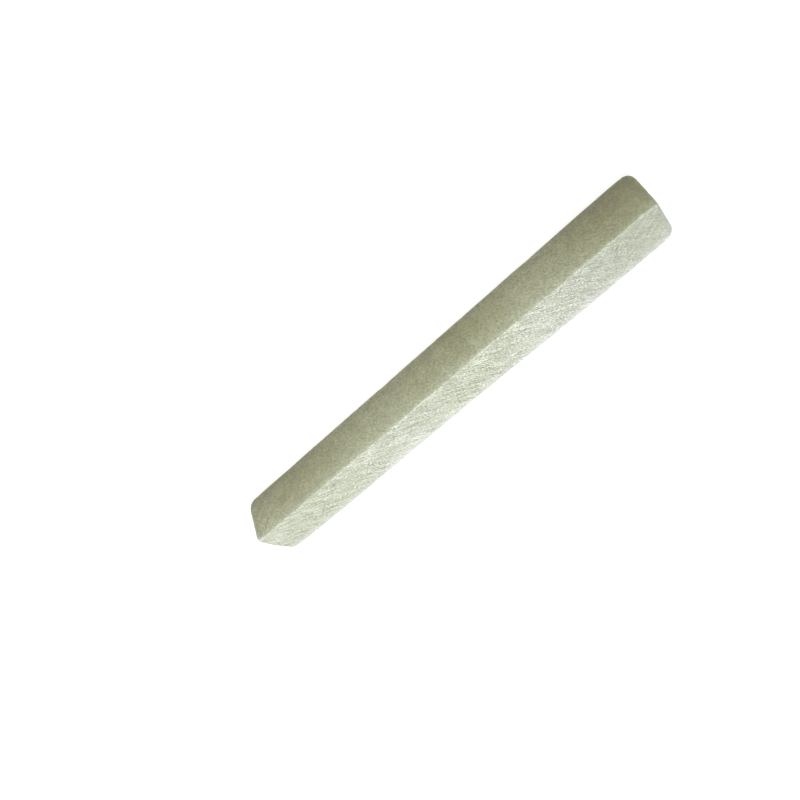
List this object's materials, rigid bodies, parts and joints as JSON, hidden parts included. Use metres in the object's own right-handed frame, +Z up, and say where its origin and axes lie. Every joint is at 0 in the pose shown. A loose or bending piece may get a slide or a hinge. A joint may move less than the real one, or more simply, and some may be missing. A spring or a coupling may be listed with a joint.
{
  "type": "slate pencil",
  "caption": "Square-sawn soapstone stick with worn arrises and blunt rounded ends, for writing and marking on a slate.",
  "frame": {"origin": "in the flat bottom face, under the middle of the stick's overall box", "axes": "+X along the stick towards its worn end, +Y towards the rear face, +Z up out of the top face"},
  "size_m": [0.0724, 0.0074, 0.0072],
  "materials": {
    "soapstone": "matte"
  },
  "bodies": {
    "root": {"stone_stick": "soapstone"}
  },
  "joints": []
}
